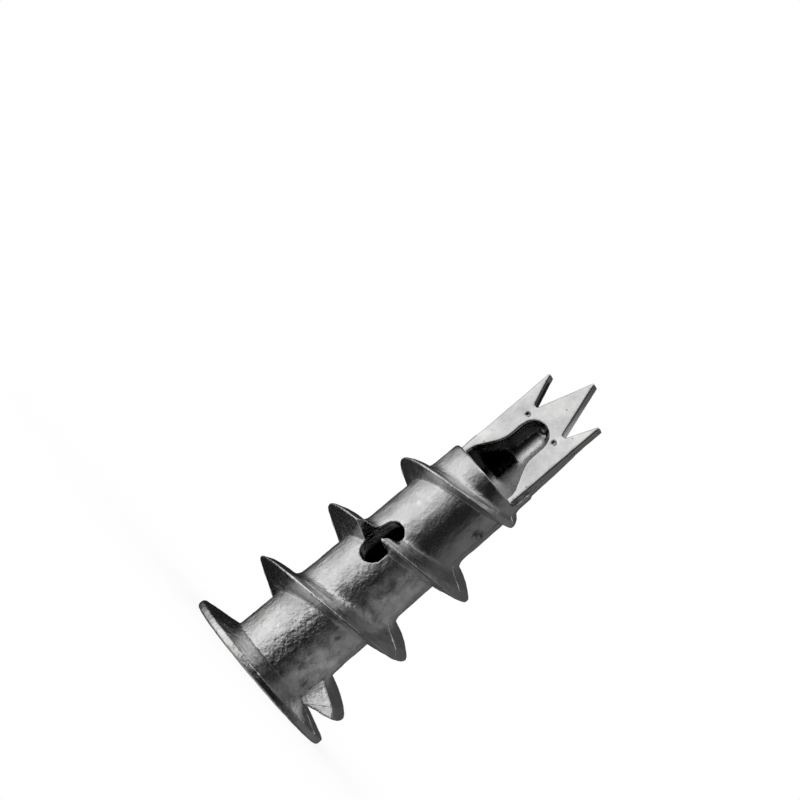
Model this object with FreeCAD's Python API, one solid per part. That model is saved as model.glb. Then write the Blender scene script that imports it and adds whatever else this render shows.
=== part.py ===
"""Self-drilling plasterboard anchor: one zinc die casting, in millimetres.

The anchor stands on its flange. The origin is the centre of the flange's outer
face, and +Z runs along the axis to the drilling tip. The casting's parting
plane is XZ, and the open side of the tip looks along -Y.
"""
import FreeCAD
import Part
import os
from math import cos, pi, radians, sin, tan
from FreeCAD import Vector

# Flange and tube
overall_length = 32.0
flange_diameter = 13.2
rim_thickness = 0.6
flange_cone_height = 0.82
rim_rounding = 0.12
tube_diameter_at_flange = 7.2
tube_diameter_at_end = 6.52
tube_end = 21.75
tube_end_chamfer = 0.2

# Screw bore and cross recess in the flange
bore_diameter = 4.0
bore_mouth_chamfer = 0.3
recess_span = 6.0
recess_wing_width = 1.2
recess_depth = 3.6
recess_half_angle = 13.25

# Coarse thread: a tall thin ridge that starts and ends on the casting
thread_pitch = 6.17
thread_start_height = 2.3
thread_start_radius = 6.45
thread_crest_draft = 0.049
thread_crest_width = 0.36
crest_bevel_width = 0.24
crest_bevel_depth = 0.7
flank_angle_along_pull = 9.0
flank_angle_at_parting = 19.0
root_fillet = 0.9
fillet_strips = 4
root_sink = 0.03
thread_turns = 3.15
thread_fall_start = 14.5
thread_fall = 0.086
thread_end_fade_angle = 60.0
thread_end_crest_height = 0.12
thread_root_depth = 0.45
section_step = 22.5

# Core windows through the wall, and the gap that the front one leaves in the ridge
window_height = 13.03
window_length = 3.66
window_width = 1.85
ridge_gap_wide_side = 1.5
ridge_gap_narrow_side = 0.7

# Drilling tip: a half-round back, and a blade that ends in three points
blade_width = 5.94
blade_thickness = 0.92
shoulder_diameter = 6.4
shoulder_end = 23.2
back_diameter_at_shoulder = 6.16
back_diameter_at_end = 5.8
back_end = 27.9
back_end_slope = 50.0
side_point_height = 30.15
side_point_flat = 0.16
middle_point_flat = 0.18
notch_height = 27.5
notch_offset = 1.62
notch_root_radius = 0.16

# Scoop that opens the bore to the front of the tip, and narrows to a channel
scoop_diameter = 4.9
scoop_straight = 0.75
scoop_cone_length = 2.1
scoop_entry_blend = 1.1
scoop_exit_blend = 2.4
channel_diameter = 2.54
channel_end = 27.45
dimple_diameter = 0.36
dimple_depth = 0.16
dimple_height = 27.0
dimple_offset = 1.54

axis = Vector(0, 0, 1)
front_face = -blade_thickness / 2
clear_length = 2 * overall_length
clear_radius = flange_diameter


def tube_radius(height):
    """Outer radius of the tapered tube at a height above the flange's outer face."""
    share = height / tube_end
    return (tube_diameter_at_flange + (tube_diameter_at_end - tube_diameter_at_flange) * share) / 2


def in_section(radius, height):
    """A point of a turned outline, in the XZ plane."""
    return Vector(radius, 0, height)


def turned(edges):
    """The solid that a closed outline in the XZ plane sweeps about Z."""
    return Part.Face(Part.Wire(edges)).revolve(Vector(0, 0, 0), axis, 360)


def straight_edges(points):
    """The edges that join points in turn."""
    return [Part.LineSegment(start, end).toShape() for start, end in zip(points, points[1:])]


def rounded_corner(before, corner, after, radius):
    """The arc of a radius that is tangent to both runs of a corner."""
    back = (before - corner).normalize()
    onward = (after - corner).normalize()
    half_angle = back.getAngle(onward) / 2
    bisector = (back + onward).normalize()
    start = corner + back * (radius / tan(half_angle))
    end = corner + onward * (radius / tan(half_angle))
    middle = corner + bisector * (radius / sin(half_angle) - radius)
    return Part.Arc(start, middle, end)


def block(x_range, y_range, z_range):
    """A box between three pairs of limits."""
    (x_low, x_high), (y_low, y_high), (z_low, z_high) = x_range, y_range, z_range
    return Part.makeBox(x_high - x_low, y_high - y_low, z_high - z_low, Vector(x_low, y_low, z_low))


# Flange and tube: one turned shape, with the flange's back sloping to the tube
def flange_and_tube():
    rim = flange_diameter / 2
    cone_top = rim_thickness + flange_cone_height
    chamfer_start = tube_end - tube_end_chamfer
    points = [
        in_section(0, 0),
        in_section(rim - rim_rounding, 0),
        in_section(rim, rim_rounding),
        in_section(rim, rim_thickness - rim_rounding),
        in_section(rim - rim_rounding, rim_thickness),
        in_section(tube_radius(cone_top), cone_top),
        in_section(tube_radius(chamfer_start), chamfer_start),
        in_section(tube_radius(tube_end) - tube_end_chamfer / 2, tube_end),
        in_section(0, tube_end),
        in_section(0, 0),
    ]
    return turned(straight_edges(points))


# Coarse thread: thin where the mould halves pull away, and thicker towards their parting plane
def crest_radius(height, angle):
    """Crest radius: a gentle draft, a quicker fall near the tip, and a faded end."""
    radius = thread_start_radius - thread_crest_draft * (height - thread_start_height)
    radius -= thread_fall * max(0.0, height - thread_fall_start) ** 1.5
    lowest = tube_radius(height) + thread_end_crest_height
    to_go = (radians(360 * thread_turns) - angle) / radians(thread_end_fade_angle)
    if to_go < 1:
        radius = lowest + (radius - lowest) * sin(to_go * pi / 2)
    return radius


def flank_angle(angle):
    """How far a flank leans at an angle about Z: most at the parting plane, with a crease there."""
    share = 1 - abs(sin(angle))
    return radians(flank_angle_along_pull + (flank_angle_at_parting - flank_angle_along_pull) * share)


def ridge_section(angle):
    """The closed outline of the ridge in the half plane at an angle about Z."""
    height = thread_start_height + thread_pitch * angle / (2 * pi)
    crest = crest_radius(height, angle)
    foot = tube_radius(min(height, tube_end)) - root_sink
    root = foot - thread_root_depth
    outward = Vector(cos(angle), sin(angle), 0)
    crest_reach = thread_crest_width / 2
    foot_reach = crest_reach + (crest - foot) * tan(flank_angle(angle))
    fillet = min(root_fillet, 0.7 * (crest - foot))
    bevel = min(crest_bevel_depth, 0.3 * (crest - foot))
    bevel_reach = crest_reach + bevel * tan(flank_angle(angle))

    def place(radius, reach):
        return outward * radius + axis * (height + reach)

    fillet_arc = rounded_corner(place(crest, crest_reach), place(foot, foot_reach),
                                place(foot, foot_reach + fillet), fillet)
    fillet_points = fillet_arc.toShape().discretize(fillet_strips + 1)
    under_fillet = fillet_points[-1] - outward * thread_root_depth
    return Part.Wire(straight_edges([
        under_fillet,
        place(root, -foot_reach),
        place(foot, -foot_reach),
        place(crest, -crest_reach),
        place(crest, crest_reach - crest_bevel_width),
        place(crest - bevel, bevel_reach),
        *fillet_points,
        under_fillet,
    ]))


def thread_ridges():
    """One lofted solid for each half turn, from parting plane to parting plane."""
    end_angle = 2 * pi * thread_turns
    ridges = []
    start = 0.0
    while end_angle - start > radians(section_step) / 2:
        end = min(start + pi, end_angle)
        steps = max(2, round((end - start) / radians(section_step)))
        sections = [ridge_section(start + (end - start) * step / steps) for step in range(steps + 1)]
        ridges.append(Part.makeLoft(sections, True, False))
        start = end
    return ridges


# Drilling tip: the tube's back half runs on under the blade and ends in a slope
def tip_back():
    shoulder = shoulder_diameter / 2
    back_at_shoulder = back_diameter_at_shoulder / 2
    back = back_diameter_at_end / 2
    start = tube_end - thread_root_depth
    points = [
        in_section(0, start),
        in_section(shoulder, start),
        in_section(shoulder, shoulder_end),
        in_section(back_at_shoulder, shoulder_end + (shoulder - back_at_shoulder)),
        in_section(back, back_end),
        in_section(0, back_end),
        in_section(0, start),
    ]
    front_half = block((-clear_radius, clear_radius), (-clear_radius, 0), (0, clear_length))
    slope_run = back / tan(radians(back_end_slope))
    slope_points = [
        Vector(0, blade_thickness / 2, back_end),
        Vector(0, blade_thickness / 2 + back, back_end - slope_run),
        Vector(0, clear_radius, back_end - slope_run),
        Vector(0, clear_radius, clear_length),
        Vector(0, blade_thickness / 2, clear_length),
        Vector(0, blade_thickness / 2, back_end),
    ]
    slope = Part.Face(Part.makePolygon(slope_points)).extrude(Vector(clear_length, 0, 0))
    slope.translate(Vector(-clear_length / 2, 0, 0))
    return turned(straight_edges(points)).cut([front_half, slope])


def blade():
    """The flat blade with two V notches, which leave a long middle point and two side points."""
    side = blade_width / 2
    start = tube_end - thread_root_depth
    edges = []
    for hand in (1, -1):
        side_foot = Vector(hand * side, 0, start)
        side_corner = Vector(hand * side, 0, side_point_height)
        side_point = Vector(hand * (side - side_point_flat), 0, side_point_height)
        notch = Vector(hand * notch_offset, 0, notch_height)
        middle_point = Vector(hand * middle_point_flat / 2, 0, overall_length)
        root_arc = rounded_corner(side_point, notch, middle_point, notch_root_radius)
        edges += straight_edges([Vector(0, 0, start), side_foot, side_corner, side_point, root_arc.StartPoint])
        edges += [root_arc.toShape()]
        edges += straight_edges([root_arc.EndPoint, middle_point, Vector(0, 0, overall_length)])
    outline = Part.Wire(Part.sortEdges(edges)[0])
    plate = Part.Face(outline).extrude(Vector(0, blade_thickness, 0))
    plate.translate(Vector(0, front_face, 0))
    return plate


# What is hollow: bore, scoop, windows, recess and two dimples
def bore():
    """The straight bore, with a chamfer at its mouth in the flange."""
    radius = bore_diameter / 2
    mouth = radius + bore_mouth_chamfer
    points = [
        in_section(0, -bore_mouth_chamfer),
        in_section(mouth + bore_mouth_chamfer, -bore_mouth_chamfer),
        in_section(radius, bore_mouth_chamfer),
        in_section(radius, tube_end + scoop_straight / 2),
        in_section(0, tube_end + scoop_straight / 2),
        in_section(0, -bore_mouth_chamfer),
    ]
    return turned(straight_edges(points))


def scoop():
    """The turned hollow of the tip: a wide mouth, a cone, and a channel with a round end."""
    wide = scoop_diameter / 2
    narrow = channel_diameter / 2
    cone_start = tube_end + scoop_straight
    cone_end = cone_start + scoop_cone_length
    ball_centre = channel_end - narrow
    mouth = in_section(wide, tube_end)
    entry = in_section(wide, cone_start)
    leave = in_section(narrow, cone_end)
    channel_top = in_section(narrow, ball_centre)
    entry_arc = rounded_corner(mouth, entry, leave, scoop_entry_blend)
    exit_arc = rounded_corner(entry, leave, channel_top, scoop_exit_blend)
    ball_middle = in_section(narrow * cos(pi / 4), ball_centre + narrow * sin(pi / 4))
    ball_arc = Part.Arc(channel_top, ball_middle, in_section(0, channel_end))
    edges = straight_edges([in_section(0, channel_end), in_section(0, tube_end), mouth, entry_arc.StartPoint])
    edges += [entry_arc.toShape(), Part.LineSegment(entry_arc.EndPoint, exit_arc.StartPoint).toShape()]
    edges += [exit_arc.toShape(), Part.LineSegment(exit_arc.EndPoint, channel_top).toShape()]
    return turned(edges + [ball_arc.toShape()])


def windows():
    """A round-ended slot through both walls, and the gap that its core leaves in the ridge."""
    end_radius = window_width / 2
    end_offset = window_length / 2 - end_radius
    span = clear_radius * 2
    slot = block((-end_radius, end_radius), (-clear_radius, clear_radius),
                 (window_height - end_offset, window_height + end_offset))
    ends = [
        Part.makeCylinder(end_radius, span, Vector(0, -clear_radius, window_height + offset), Vector(0, 1, 0))
        for offset in (-end_offset, end_offset)
    ]
    gap_foot = -tube_radius(window_height) + thread_root_depth
    gap_mouth = -thread_start_radius
    gap_points = [
        Vector(-end_radius, gap_foot, 0),
        Vector(-ridge_gap_wide_side, gap_mouth, 0),
        Vector(ridge_gap_narrow_side, gap_mouth, 0),
        Vector(end_radius, gap_foot, 0),
        Vector(-end_radius, gap_foot, 0),
    ]
    gap = Part.Face(Part.makePolygon(gap_points)).extrude(Vector(0, 0, window_length))
    gap.translate(Vector(0, 0, window_height - window_length / 2))
    return slot.fuse(ends), gap


def cross_recess():
    """A cross for a screwdriver, whose wings narrow with depth."""
    mouth = recess_span / 2
    floor = mouth - recess_depth * tan(radians(recess_half_angle))
    cone = Part.makeCone(mouth, floor, recess_depth)
    half_width = recess_wing_width / 2
    wings = block((-mouth, mouth), (-half_width, half_width), (0, recess_depth))
    cross = wings.fuse(block((-half_width, half_width), (-mouth, mouth), (0, recess_depth)))
    cross.rotate(Vector(0, 0, 0), axis, 45)
    return cross.common(cone)


def dimples():
    """Two small marks of the mould beside the end of the channel."""
    return [
        Part.makeCylinder(dimple_diameter / 2, dimple_depth,
                          Vector(hand * dimple_offset, front_face, dimple_height), Vector(0, 1, 0))
        for hand in (1, -1)
    ]


# The whole casting
def anchor_body():
    slot, gap = windows()
    ridges = [ridge.cut(gap) for ridge in thread_ridges()]
    solid = flange_and_tube().fuse(ridges + [tip_back(), blade()])
    return solid.cut([bore(), scoop(), slot, cross_recess()] + dimples())


if __name__ == "__main__":
    os.makedirs("parts", exist_ok=True)
    anchor_body().exportStep("parts/anchor_body.step")
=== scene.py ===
import bpy
import bmesh
import math
from mathutils import Matrix, Vector


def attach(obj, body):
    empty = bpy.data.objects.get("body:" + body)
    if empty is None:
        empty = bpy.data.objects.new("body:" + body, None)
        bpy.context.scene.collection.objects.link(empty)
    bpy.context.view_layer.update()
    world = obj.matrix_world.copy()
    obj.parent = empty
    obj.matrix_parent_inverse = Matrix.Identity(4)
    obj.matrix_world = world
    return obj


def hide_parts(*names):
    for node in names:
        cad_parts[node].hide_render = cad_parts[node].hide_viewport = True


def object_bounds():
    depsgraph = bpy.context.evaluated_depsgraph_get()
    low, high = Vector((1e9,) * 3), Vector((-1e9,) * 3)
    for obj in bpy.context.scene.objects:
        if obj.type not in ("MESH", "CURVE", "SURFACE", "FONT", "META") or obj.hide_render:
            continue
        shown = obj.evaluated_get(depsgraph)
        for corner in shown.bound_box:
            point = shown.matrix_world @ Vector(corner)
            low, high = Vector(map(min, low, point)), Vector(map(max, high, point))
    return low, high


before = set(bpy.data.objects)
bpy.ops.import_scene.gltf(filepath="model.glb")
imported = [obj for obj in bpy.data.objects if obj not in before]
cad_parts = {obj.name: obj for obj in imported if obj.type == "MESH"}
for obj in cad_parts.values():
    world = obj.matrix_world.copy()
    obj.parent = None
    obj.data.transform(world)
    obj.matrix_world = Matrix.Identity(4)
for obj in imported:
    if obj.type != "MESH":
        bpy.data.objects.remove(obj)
cad_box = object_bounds()

# As-cast zinc: the whole anchor is one zinc die casting. It froze against a polished steel
# die, so it is bright, with orange-peel grain, duller patches, small pits and rubbed edges,
# and the rubbed edges are lighter as a painted highlight. Painted shade darkens the bore, one
# side of the scoop and the blade's dimples, and painted light pales the scoop's other side.
# Die soot flecks the gate, and a bloom of oxide pales one side of the tube.
fresh_zinc = "EBEBEA"
dull_zinc = "B4B4B5"
# The lighter colour of rubbed edges, which is also a painted highlight on the crests
worn_zinc_and_highlight = "F2F2F1"
# Near-black for the gate's soot and for the painted shade in the bore, scoop and dimples; the
# pits use it too
soot_and_shade = "1E1E1F"

# The patterns of the skin in metres, at the size that they have on the real casting
grain_size = 0.00022
grain_height = 0.00005
mottle_size = 0.0008
mottle_height = 0.0001
patch_size = 0.0028
pit_spacing = 0.0009

# The colour sockets of a Mix node, whose names are shared by its sockets of other kinds
mix_share, mix_under, mix_over, mix_result = 0, 6, 7, 2


def linear(hex_colour):
    """An sRGB hex colour as the linear colour that a shader takes."""
    channels = [int(hex_colour[start:start + 2], 16) / 255 for start in (0, 2, 4)]
    return [c / 12.92 if c <= 0.04045 else ((c + 0.055) / 1.055) ** 2.4 for c in channels] + [1]


def node(tree, kind, links=None, values=None, **settings):
    """Adds a node with its settings, plain input values and links."""
    made = tree.nodes.new(kind)
    for name, value in settings.items():
        setattr(made, name, value)
    for name, value in (values or {}).items():
        made.inputs[name].default_value = value
    for name, source in (links or {}).items():
        tree.links.new(source, made.inputs[name])
    return made


def graded(tree, place, stops):
    """A value that follows a place along a line, from rising pairs of a place and its value."""
    first, last = stops[0][0], stops[-1][0]
    share = node(tree, "ShaderNodeMapRange", {"Value": place},
                 {"From Min": first, "From Max": last})
    ramp = node(tree, "ShaderNodeValToRGB", {"Fac": share.outputs["Result"]})
    while len(ramp.color_ramp.elements) < len(stops):
        ramp.color_ramp.elements.new(1.0)
    for element, (stop, value) in zip(ramp.color_ramp.elements, stops):
        element.position = (stop - first) / (last - first)
        element.color = (value, value, value, 1)
    return ramp.outputs["Color"]


zinc = bpy.data.materials.new("as_cast_zinc")
zinc.use_nodes = True
tree = zinc.node_tree
tree.nodes.clear()
place = node(tree, "ShaderNodeTexCoord").outputs["Object"]
along = node(tree, "ShaderNodeSeparateXYZ", {"Vector": place})
height = along.outputs["Z"]
across = node(tree, "ShaderNodeVectorMath", {"Vector": place}, {1: (1, 1, 0)},
              operation="MULTIPLY").outputs["Vector"]
radius = node(tree, "ShaderNodeVectorMath", {"Vector": across},
              operation="LENGTH").outputs["Value"]
grain = node(tree, "ShaderNodeTexNoise", {"Vector": place},
             {"Scale": 1 / grain_size, "Detail": 2.0, "Roughness": 0.5})
mottles = node(tree, "ShaderNodeTexNoise", {"Vector": place},
               {"Scale": 1 / mottle_size, "Detail": 4.0, "Roughness": 0.6})
patches = node(tree, "ShaderNodeTexNoise", {"Vector": place},
               {"Scale": 1 / patch_size, "Detail": 7.0, "Roughness": 0.7})
pits = node(tree, "ShaderNodeTexVoronoi", {"Vector": place}, {"Scale": 1 / pit_spacing})

# Painted shade all round the bore, from inside its mouth to its end: its colour is darkened
# where shade falls
bore_wall = {"From Min": 0.00215, "From Max": 0.00245, "To Min": 1.0, "To Max": 0.0}
bore_end = {"From Min": 0.0205, "From Max": 0.0215, "To Min": 1.0, "To Max": 0.0}
bore_mouth = {"From Min": 0.001, "From Max": 0.004}
bore_painted_shade = node(tree, "ShaderNodeMapRange", {"Value": radius}, bore_wall).outputs["Result"]
for limit in (bore_end, bore_mouth):
    within = node(tree, "ShaderNodeMapRange", {"Value": height}, limit)
    bore_painted_shade = node(tree, "ShaderNodeMath", {0: bore_painted_shade, 1: within.outputs["Result"]},
                     operation="MULTIPLY").outputs["Value"]

# Painted shade on one side of the scoop, and painted light on its other side, which is made
# paler by less metal
scoop_wall = {"From Min": 0.00255, "From Max": 0.00265, "To Min": 1.0, "To Max": 0.0}
scoop_start = {"From Min": 0.0213, "From Max": 0.0217}
scoop_face = {"From Min": -0.0004, "From Max": -0.0002}
shaded_side = (-0.889, -0.457, 0.0)
shaded_part = {"From Min": -0.0003, "From Max": 0.0004, "To Max": 0.95}
pale_part = {"From Min": -0.0014, "From Max": -0.0005, "To Min": 0.5, "To Max": 0.0}
in_scoop = node(tree, "ShaderNodeMapRange", {"Value": radius}, scoop_wall).outputs["Result"]
for distance, limit in ((height, scoop_start), (along.outputs["Y"], scoop_face)):
    within = node(tree, "ShaderNodeMapRange", {"Value": distance}, limit)
    in_scoop = node(tree, "ShaderNodeMath", {0: in_scoop, 1: within.outputs["Result"]},
                    operation="MULTIPLY").outputs["Value"]
to_side = node(tree, "ShaderNodeVectorMath", {0: place}, {1: shaded_side},
               operation="DOT_PRODUCT").outputs["Value"]
scoop_marks = []
for part in (shaded_part, pale_part):
    on_side = node(tree, "ShaderNodeMapRange", {"Value": to_side}, part)
    mark = node(tree, "ShaderNodeMath", {0: in_scoop, 1: on_side.outputs["Result"]},
                operation="MULTIPLY")
    scoop_marks.append(mark.outputs["Value"])
scoop_painted_shade, scoop_painted_light = scoop_marks

# Painted shade in the twin dimples of the blade, and soot in broken flecks on the gate scar
dimple_place = (0.00154, -0.00046, 0.027)
dimple_edge = {"From Min": 0.00012, "From Max": 0.00026, "To Min": 0.5, "To Max": 0.0}
gate_place = (0.00327, -0.00051, 0.0185)
gate_edge = {"From Min": 0.0002, "From Max": 0.0007, "To Min": 1.0, "To Max": 0.0}
sooty_mottles = {"From Min": 0.45, "From Max": 0.6}
aside = node(tree, "ShaderNodeMath", {0: along.outputs["X"]}, operation="ABSOLUTE")
either_side = node(tree, "ShaderNodeCombineXYZ",
                   {"X": aside.outputs["Value"], "Y": along.outputs["Y"], "Z": height})
from_dimple = node(tree, "ShaderNodeVectorMath", {0: either_side.outputs["Vector"]},
                   {1: dimple_place}, operation="DISTANCE")
dimple_painted_shade = node(tree, "ShaderNodeMapRange", {"Value": from_dimple.outputs["Value"]},
                   dimple_edge)
from_gate = node(tree, "ShaderNodeVectorMath", {0: place}, {1: gate_place},
                 operation="DISTANCE")
near_gate = node(tree, "ShaderNodeMapRange", {"Value": from_gate.outputs["Value"]}, gate_edge)
flecks = node(tree, "ShaderNodeMapRange", {"Value": mottles.outputs["Fac"]}, sooty_mottles)
gate_soot = node(tree, "ShaderNodeMath",
                 {0: near_gate.outputs["Result"], 1: flecks.outputs["Result"]},
                 operation="MULTIPLY")
# Soot on the gate scar and painted shade in the bore, scoop and dimples, as one share
soot_and_painted_shade = bore_painted_shade
for mark in (scoop_painted_shade, dimple_painted_shade.outputs["Result"], gate_soot.outputs["Value"]):
    soot_and_painted_shade = node(tree, "ShaderNodeMath", {0: soot_and_painted_shade, 1: mark},
                 operation="MAXIMUM").outputs["Value"]

# Oxide bloom, uneven, down one side of the tube, and mostly rubbed off the ridges
bloom_line = (0.00327, -0.00124, 0.0)
bloom_edge = {"From Min": 0.0008, "From Max": 0.0024, "To Min": 1.0, "To Max": 0.0}
bloom_by_height = [(0.0, 0.45), (0.006, 0.45), (0.0125, 0.38), (0.0145, 0.0), (0.032, 0.0)]
ridge_foot = {"From Min": 0.004, "From Max": 0.0045, "To Min": 1.0, "To Max": 0.3}
pale_mottles = {"From Min": 0.36, "From Max": 0.66, "To Min": 0.1, "To Max": 0.55}
from_bloom = node(tree, "ShaderNodeVectorMath", {0: across}, {1: bloom_line},
                  operation="DISTANCE")
near_bloom = node(tree, "ShaderNodeMapRange", {"Value": from_bloom.outputs["Value"]},
                  bloom_edge)
off_ridge = node(tree, "ShaderNodeMapRange", {"Value": radius}, ridge_foot).outputs["Result"]
uneven = node(tree, "ShaderNodeMapRange", {"Value": mottles.outputs["Fac"]}, pale_mottles)
tube_bloom = near_bloom.outputs["Result"]
for share in (graded(tree, height, bloom_by_height), off_ridge, uneven.outputs["Result"]):
    tube_bloom = node(tree, "ShaderNodeMath", {0: tube_bloom, 1: share},
                      operation="MULTIPLY").outputs["Value"]
# The tube's oxide bloom and the scoop's painted light, which both take metal away
bloom_and_painted_light = node(tree, "ShaderNodeMath", {0: tube_bloom, 1: scoop_painted_light},
               operation="MAXIMUM").outputs["Value"]
metal = node(tree, "ShaderNodeMath", {1: bloom_and_painted_light}, {0: 1.0}, operation="SUBTRACT")

# Colour: fresh and dull zinc in patches, then worn edges with a painted highlight,
# the pits, and soot with painted shade
dull_patches = {"From Min": 0.34, "From Max": 0.75}
worn_and_highlit_edges = {"From Min": 0.56, "From Max": 0.68}
pit_edge = {"From Min": 0.04, "From Max": 0.09, "To Min": 0.7, "To Max": 0.0}
dullness = node(tree, "ShaderNodeMapRange", {"Value": patches.outputs["Fac"]}, dull_patches)
sharpness = node(tree, "ShaderNodeNewGeometry").outputs["Pointiness"]
# Lighter colour on sharp edges: rubbed wear, and also a painted highlight
wear_and_highlight = node(tree, "ShaderNodeMapRange", {"Value": sharpness}, worn_and_highlit_edges)
pitted = node(tree, "ShaderNodeMapRange", {"Value": pits.outputs["Distance"]}, pit_edge)
colour = node(tree, "ShaderNodeMix", {mix_share: dullness.outputs["Result"]},
              {mix_under: linear(fresh_zinc), mix_over: linear(dull_zinc)},
              data_type="RGBA").outputs[mix_result]
for share, over in ((wear_and_highlight.outputs["Result"], worn_zinc_and_highlight), (pitted.outputs["Result"], soot_and_shade),
                    (soot_and_painted_shade, soot_and_shade)):
    colour = node(tree, "ShaderNodeMix", {mix_share: share, mix_under: colour},
                  {mix_over: linear(over)}, data_type="RGBA").outputs[mix_result]

# Roughness: least on the tip, and more in the patches, under the bloom and on the scoop's
# painted light
roughness_by_height = [(0.0, 0.15), (0.006, 0.15), (0.012, 0.21), (0.0205, 0.24),
                       (0.0225, 0.09), (0.032, 0.12)]
rough_patches = {"From Min": 0.3, "From Max": 0.7, "To Min": 0.0, "To Max": 0.08}
patchy = node(tree, "ShaderNodeMapRange", {"Value": patches.outputs["Fac"]}, rough_patches)
roughness = graded(tree, height, roughness_by_height)
for share in (patchy.outputs["Result"], bloom_and_painted_light):
    roughness = node(tree, "ShaderNodeMath", {0: roughness, 1: share}).outputs["Value"]

# Relief: mottles, and on them a grain of pebbles that is weaker on the ridges and the tip
mottles_by_height = [(0.0, 1.0), (0.006, 1.0), (0.014, 0.6), (0.0205, 0.6), (0.0225, 0.2),
                     (0.032, 0.2)]
pebbles_by_height = [(0.0, 1.0), (0.006, 1.0), (0.014, 0.4), (0.021, 0.35), (0.0225, 0.2),
                     (0.032, 0.2)]
mottled = node(tree, "ShaderNodeBump",
               {"Height": mottles.outputs["Fac"],
                "Strength": graded(tree, height, mottles_by_height)},
               {"Distance": mottle_height})
pebbles = node(tree, "ShaderNodeMath",
               {0: graded(tree, height, pebbles_by_height), 1: off_ridge},
               operation="MULTIPLY")
pebbled = node(tree, "ShaderNodeBump",
               {"Height": grain.outputs["Fac"], "Normal": mottled.outputs["Normal"],
                "Strength": pebbles.outputs["Value"]}, {"Distance": grain_height})
surface = node(tree, "ShaderNodeBsdfPrincipled",
               {"Base Color": colour, "Roughness": roughness,
                "Normal": pebbled.outputs["Normal"], "Metallic": metal.outputs["Value"]})
node(tree, "ShaderNodeOutputMaterial", {"Surface": surface.outputs["BSDF"]})

# Casting: one skin remade from the fixed frame's exact shape, with its edges softened as a
# die and a tumbling barrel leave them. The metal reached the flange last and coldest, so
# the skin is wrinkled there and smooth near the gate, and the gate has left a broken scar.
skin_step = 0.00008
softening_passes = 4
most_triangles = 195000
same_point = 1e-7
least_wrinkled = 0.15
noise_middle = 0.5
casting_sizes = {
    "Wrinkle Size": 0.00042,
    "Wrinkle Height": 0.00006,
    "Wave Size": 0.0012,
    "Wave Height": 0.00009,
    "Coldest Height": 0.003,
    "Warm Height": 0.0135,
    "Scoop Start": 0.0212,
    "Scoop Radius": 0.0027,
    "Gate Across": gate_place[0],
    "Gate Forward": gate_place[1],
    "Gate Height": gate_place[2],
    "Scar Reach": 0.0007,
    "Scar Height": 0.0004,
}


def growth_rule(name, inputs):
    """An empty Geometry Nodes tree with a named input for each of its sizes."""
    tree = bpy.data.node_groups.new(name, "GeometryNodeTree")
    tree.interface.new_socket("Geometry", in_out="INPUT", socket_type="NodeSocketGeometry")
    for label in inputs:
        tree.interface.new_socket(label, in_out="INPUT", socket_type="NodeSocketFloat")
    tree.interface.new_socket("Geometry", in_out="OUTPUT", socket_type="NodeSocketGeometry")
    return tree


def end_rule(tree, geometry, material):
    """Ends a tree in real geometry with its material."""
    real = node(tree, "GeometryNodeRealizeInstances", {"Geometry": geometry})
    coated = node(tree, "GeometryNodeSetMaterial", {"Geometry": real.outputs["Geometry"]},
                  {"Material": material})
    node(tree, "NodeGroupOutput", {"Geometry": coated.outputs["Geometry"]})


def apply_all(piece):
    """Keeps what a piece's modifiers make as its plain mesh."""
    evaluated = piece.evaluated_get(bpy.context.evaluated_depsgraph_get())
    made = bpy.data.meshes.new_from_object(evaluated)
    piece.modifiers.clear()
    piece.data = made


def grow(piece, tree, sizes):
    """Runs a tree on a piece with its sizes, and keeps the result."""
    modifier = piece.modifiers.new(tree.name, "NODES")
    modifier.node_group = tree
    for socket in tree.interface.items_tree:
        if socket.name in sizes:
            modifier[socket.identifier] = sizes[socket.name]
    apply_all(piece)


cast_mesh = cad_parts["anchor_body"].data.copy()
casting = bpy.data.objects.new("casting", cast_mesh)
bpy.context.scene.collection.objects.link(casting)
exact_skin = bmesh.new()
exact_skin.from_mesh(cast_mesh)
bmesh.ops.remove_doubles(exact_skin, verts=exact_skin.verts, dist=same_point)
exact_skin.to_mesh(cast_mesh)
remesh = casting.modifiers.new("one skin", "REMESH")
remesh.mode = "VOXEL"
remesh.voxel_size = skin_step
soften = casting.modifiers.new("softened edges", "SMOOTH")
soften.iterations = softening_passes
apply_all(casting)

tree = growth_rule("flow marks and gate scar", casting_sizes)
given = node(tree, "NodeGroupInput").outputs
place = node(tree, "GeometryNodeInputPosition").outputs["Position"]
outwards = node(tree, "GeometryNodeInputNormal").outputs["Normal"]
height = node(tree, "ShaderNodeSeparateXYZ", {"Vector": place}).outputs["Z"]
patterns = []
for size, look in (("Wrinkle Size", {"Detail": 2.0, "Roughness": 0.5, "Distortion": 1.0}),
                   ("Wave Size", {"Detail": 1.0})):
    scale = node(tree, "ShaderNodeMath", {1: given[size]}, {0: 1.0}, operation="DIVIDE")
    patterns.append(node(tree, "ShaderNodeTexNoise",
                         {"Vector": place, "Scale": scale.outputs["Value"]}, look))
wrinkles, waves = (pattern.outputs["Fac"] for pattern in patterns)
wrinkle_level = node(tree, "ShaderNodeMath", {0: wrinkles}, {1: noise_middle},
                     operation="SUBTRACT").outputs["Value"]
wave_level = node(tree, "ShaderNodeMath", {0: waves}, {1: noise_middle},
                  operation="SUBTRACT").outputs["Value"]

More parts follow.
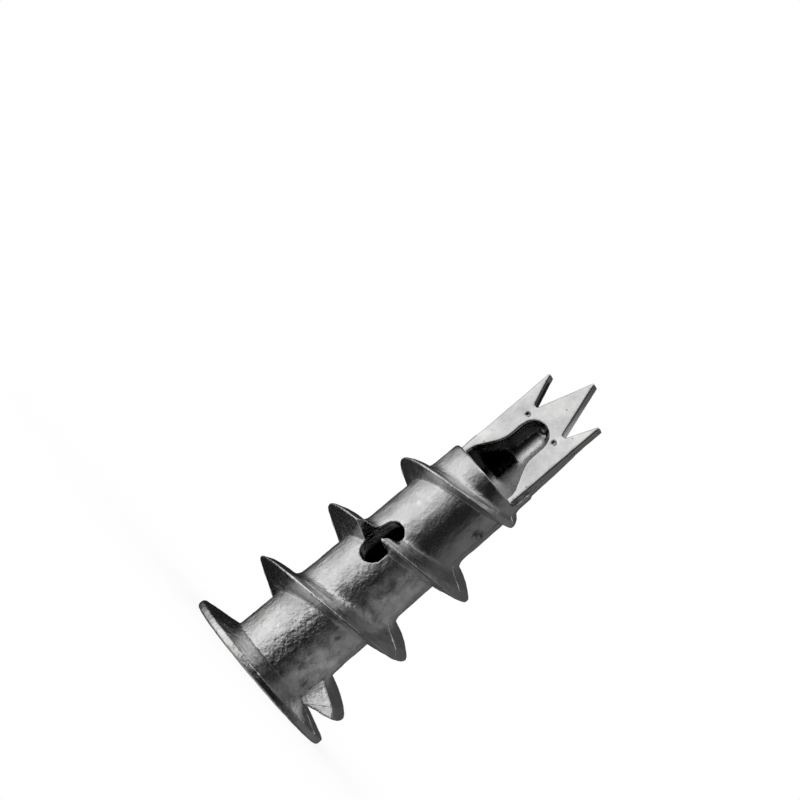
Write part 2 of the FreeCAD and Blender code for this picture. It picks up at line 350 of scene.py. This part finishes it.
# Where each mark shows: wrinkles where the metal was cold, no waves in the scoop, and the
# scar round the gate
coldness = node(tree, "ShaderNodeMapRange",
                {"Value": height, "From Min": given["Warm Height"],
                 "From Max": given["Coldest Height"]}, {"To Min": least_wrinkled})
across = node(tree, "ShaderNodeVectorMath", {0: place}, {1: (1, 1, 0)}, operation="MULTIPLY")
radius = node(tree, "ShaderNodeVectorMath", {0: across.outputs["Vector"]}, operation="LENGTH")
above = node(tree, "ShaderNodeMath", {0: height, 1: given["Scoop Start"]},
             operation="GREATER_THAN")
inside = node(tree, "ShaderNodeMath", {0: radius.outputs["Value"], 1: given["Scoop Radius"]},
              operation="LESS_THAN")
in_scoop = node(tree, "ShaderNodeMath",
                {0: above.outputs["Value"], 1: inside.outputs["Value"]}, operation="MULTIPLY")
off_scoop = node(tree, "ShaderNodeMath", {1: in_scoop.outputs["Value"]}, {0: 1.0},
                 operation="SUBTRACT")
gate = node(tree, "ShaderNodeCombineXYZ", {"X": given["Gate Across"],
                                           "Y": given["Gate Forward"],
                                           "Z": given["Gate Height"]})
from_gate = node(tree, "ShaderNodeVectorMath", {0: place, 1: gate.outputs["Vector"]},
                 operation="DISTANCE")
scar = node(tree, "ShaderNodeMapRange",
            {"Value": from_gate.outputs["Value"], "From Max": given["Scar Reach"]},
            {"To Min": 1.0, "To Max": 0.0})

# Each mark is its pattern times its height and its share of the place
marks = []
for mark, *shares in ((wrinkle_level, given["Wrinkle Height"], coldness.outputs["Result"]),
                      (wave_level, given["Wave Height"], off_scoop.outputs["Value"]),
                      (wrinkles, scar.outputs["Result"], given["Scar Height"])):
    for share in shares:
        mark = node(tree, "ShaderNodeMath", {0: mark, 1: share},
                    operation="MULTIPLY").outputs["Value"]
    marks.append(mark)
raised = marks[0]
for mark in marks[1:]:
    raised = node(tree, "ShaderNodeMath", {0: raised, 1: mark}).outputs["Value"]

# The skin moves by the sum of its marks, but not past the fixed frame's box
shift = node(tree, "ShaderNodeVectorMath", {0: outwards, "Scale": raised}, operation="SCALE")
moved = node(tree, "ShaderNodeVectorMath", {0: place, 1: shift.outputs["Vector"]})
above_least = node(tree, "ShaderNodeVectorMath", {0: moved.outputs["Vector"]},
                   {1: cad_box[0]}, operation="MAXIMUM")
below_most = node(tree, "ShaderNodeVectorMath", {0: above_least.outputs["Vector"]},
                  {1: cad_box[1]}, operation="MINIMUM")
formed = node(tree, "GeometryNodeSetPosition",
              {"Geometry": given["Geometry"], "Position": below_most.outputs["Vector"]})
end_rule(tree, formed.outputs["Geometry"], zinc)
grow(casting, tree, casting_sizes)

thin = casting.modifiers.new("fewer triangles", "DECIMATE")
thin.ratio = min(1.0, most_triangles / (2 * len(casting.data.polygons)))
apply_all(casting)
casting.data.shade_smooth()
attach(casting, "root")
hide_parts("anchor_body")

# Parting flash: where the two halves of the die met, a thread of metal ran into the joint.
# It follows the casting's outer outline in the parting plane, over ridges, flange and blade.
flash_limits = {
    "wall": 0.0026,
    "channel_end": 0.0275,
    "flange_back": 0.0007,
    "rim": 0.0064,
    "tip": 0.0316,
}
flash_sizes = {"Flash Radius": 0.000045, "Flash Step": 0.00025, "Uneven Size": 0.0008}
flash_fullness = {"From Min": 0.42, "From Max": 0.62, "To Min": 0.1, "To Max": 1.1}
flash_sides = 8

skin_parts = exact_skin.verts[:] + exact_skin.edges[:] + exact_skin.faces[:]
outline = bmesh.ops.bisect_plane(exact_skin, geom=skin_parts, dist=same_point,
                                 plane_co=(0, 0, 0), plane_no=(0, 1, 0))["geom_cut"]
path = bmesh.new()
path_ends = {}
for edge in (part for part in outline if isinstance(part, bmesh.types.BMEdge)):
    middle = (edge.verts[0].co + edge.verts[1].co) / 2
    outside = abs(middle.x) > flash_limits["wall"] or middle.z > flash_limits["channel_end"]
    clear_of_ends = (flash_limits["flange_back"] < middle.z < flash_limits["tip"]
                     and abs(middle.x) < flash_limits["rim"])
    if outside and clear_of_ends:
        for end in edge.verts:
            if end not in path_ends:
                path_ends[end] = path.verts.new(end.co)
        path.edges.new([path_ends[end] for end in edge.verts])
flash_mesh = bpy.data.meshes.new("parting_flash")
path.to_mesh(flash_mesh)
path.free()
exact_skin.free()
flash = bpy.data.objects.new("parting_flash", flash_mesh)
bpy.context.scene.collection.objects.link(flash)

tree = growth_rule("flash along an outline", flash_sizes)
given = node(tree, "NodeGroupInput").outputs
line = node(tree, "GeometryNodeMeshToCurve", {"Mesh": given["Geometry"]})
stepped = node(tree, "GeometryNodeResampleCurve",
               {"Curve": line.outputs["Curve"], "Length": given["Flash Step"]}, mode="LENGTH")
place = node(tree, "GeometryNodeInputPosition").outputs["Position"]
scale = node(tree, "ShaderNodeMath", {1: given["Uneven Size"]}, {0: 1.0}, operation="DIVIDE")
uneven = node(tree, "ShaderNodeTexNoise", {"Vector": place, "Scale": scale.outputs["Value"]},
              {"Detail": 2.0})
fullness = node(tree, "ShaderNodeMapRange", {"Value": uneven.outputs["Fac"]}, flash_fullness)
thickness = node(tree, "ShaderNodeMath",
                 {0: fullness.outputs["Result"], 1: given["Flash Radius"]},
                 operation="MULTIPLY")
profile = node(tree, "GeometryNodeCurvePrimitiveCircle",
               values={"Resolution": flash_sides, "Radius": 1.0})
bead = node(tree, "GeometryNodeCurveToMesh",
            {"Curve": stepped.outputs["Curve"], "Profile Curve": profile.outputs["Curve"],
             "Scale": thickness.outputs["Value"]}, {"Fill Caps": True})
end_rule(tree, bead.outputs["Mesh"], zinc)
grow(flash, tree, flash_sizes)
flash.data.shade_smooth()
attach(flash, "root")

# Camera: a long lens that looks at the standing anchor from its open side, rolled so that
# the anchor slants across the picture, low in the frame, as in the photograph.
camera_azimuth = math.radians(-27.22)
camera_elevation = math.radians(-1.55)
camera_roll = math.radians(49.62)
camera_distance = 0.216
camera_aim = Vector((-0.00738, -0.00394, 0.02061))

looking = Vector((math.sin(camera_azimuth) * math.cos(camera_elevation),
                  math.cos(camera_azimuth) * math.cos(camera_elevation),
                  -math.sin(camera_elevation)))
upright = looking.to_track_quat("-Z", "Y").to_matrix().to_4x4()
camera_data = bpy.data.cameras.new("camera")
camera_data.sensor_width = 36
camera_data.lens = 135
camera_data.clip_start = 0.01
camera = bpy.data.objects.new("camera", camera_data)
bpy.context.scene.collection.objects.link(camera)
camera.matrix_world = (Matrix.Translation(camera_aim - looking * camera_distance)
                       @ upright @ Matrix.Rotation(camera_roll, 4, "Z"))
bpy.context.scene.camera = camera
bpy.context.scene.view_settings.view_transform = "Standard"

# Studio: a white room, a white paper table, and a closed tent of card that stands round the
# anchor. The tent is white at the left, grey at the right, and black in front and behind.
# Only the metal's reflections show it, and it gives them a bright side and black bands.
tent_radius = 0.5
table_radius = 2.0
studio_white = "FFFFFF"
paper_glow = 0.8

# The tent's grey by degrees to the left of the camera's side, the share of it that is left at
# each height, and the light that is added at its two ends, by height
tent_greys = [(-180, 0.04), (-160, 0.09), (-130, 0.13), (-80, 0.14), (-60, 0.06),
              (-35, 0.012), (-15, 0.012), (0, 0.03), (10, 0.1), (20, 0.24), (30, 0.46),
              (45, 0.85), (60, 1.0), (75, 1.0), (90, 0.86), (110, 0.62), (130, 0.36),
              (145, 0.12), (160, 0.02), (180, 0.01)]
tent_fall = [(-0.5, 0.06), (-0.4, 0.1), (-0.25, 0.6), (-0.15, 1.0), (0.5, 1.0)]
tent_ends = [(-0.5, 0.4), (-0.42, 0.25), (-0.35, 0.08), (-0.32, 0.0), (0.46, 0.0),
             (0.48, 0.1), (0.5, 0.35)]

tent_skin = bmesh.new()
bmesh.ops.create_uvsphere(tent_skin, u_segments=64, v_segments=48, radius=tent_radius)
tent_mesh = bpy.data.meshes.new("card_tent")
tent_skin.to_mesh(tent_mesh)
tent_skin.free()
tent = bpy.data.objects.new("card_tent", tent_mesh)
bpy.context.scene.collection.objects.link(tent)
tent.rotation_euler = (0, 0, math.atan2(-looking.y, -looking.x))
for kind in ("camera", "diffuse", "transmission", "volume_scatter", "shadow"):
    setattr(tent, "visible_" + kind, False)

card = bpy.data.materials.new("studio_card")
card.use_nodes = True
card.cycles.emission_sampling = "NONE"
tree = card.node_tree
tree.nodes.clear()
place = node(tree, "ShaderNodeTexCoord").outputs["Object"]
along = node(tree, "ShaderNodeSeparateXYZ", {"Vector": place})
height = along.outputs["Z"]
turn = node(tree, "ShaderNodeMath", {0: along.outputs["Y"], 1: along.outputs["X"]},
            operation="ARCTAN2")
degrees_left = node(tree, "ShaderNodeMapRange", {"Value": turn.outputs["Value"]},
                    {"From Min": -math.pi, "From Max": math.pi,
                     "To Min": 180.0, "To Max": -180.0})
level = graded(tree, degrees_left.outputs["Result"], tent_greys)
for change, stops in (("MULTIPLY", tent_fall), ("ADD", tent_ends)):
    level = node(tree, "ShaderNodeMix",
                 {mix_under: level, mix_over: graded(tree, height, stops)}, {mix_share: 1.0},
                 data_type="RGBA", blend_type=change).outputs[mix_result]
glow = node(tree, "ShaderNodeEmission", {"Color": level})
node(tree, "ShaderNodeOutputMaterial", {"Surface": glow.outputs["Emission"]})
tent_mesh.materials.append(card)

table_skin = bmesh.new()
bmesh.ops.create_circle(table_skin, cap_ends=True, segments=96, radius=table_radius)
table_mesh = bpy.data.meshes.new("table")
table_skin.to_mesh(table_mesh)
table_skin.free()
table = bpy.data.objects.new("table", table_mesh)
bpy.context.scene.collection.objects.link(table)
table.visible_glossy = False

paper = bpy.data.materials.new("white_paper")
paper.use_nodes = True
tree = paper.node_tree
tree.nodes.clear()
matt = node(tree, "ShaderNodeBsdfDiffuse", values={"Color": linear(studio_white)})
bright = node(tree, "ShaderNodeEmission", values={"Color": linear(studio_white)})
lit = node(tree, "ShaderNodeMixShader",
           {1: matt.outputs["BSDF"], 2: bright.outputs["Emission"]}, {0: paper_glow})
clear = node(tree, "ShaderNodeBsdfTransparent")
underside = node(tree, "ShaderNodeNewGeometry").outputs["Backfacing"]
one_sided = node(tree, "ShaderNodeMixShader",
                 {0: underside, 1: lit.outputs["Shader"], 2: clear.outputs["BSDF"]})
node(tree, "ShaderNodeOutputMaterial", {"Surface": one_sided.outputs["Shader"]})
table_mesh.materials.append(paper)

world = bpy.data.worlds.new("white_room")
bpy.context.scene.world = world
world.use_nodes = True
tree = world.node_tree
tree.nodes.clear()
white = node(tree, "ShaderNodeBackground", values={"Color": linear(studio_white)})
node(tree, "ShaderNodeOutputWorld", {"Surface": white.outputs["Background"]})
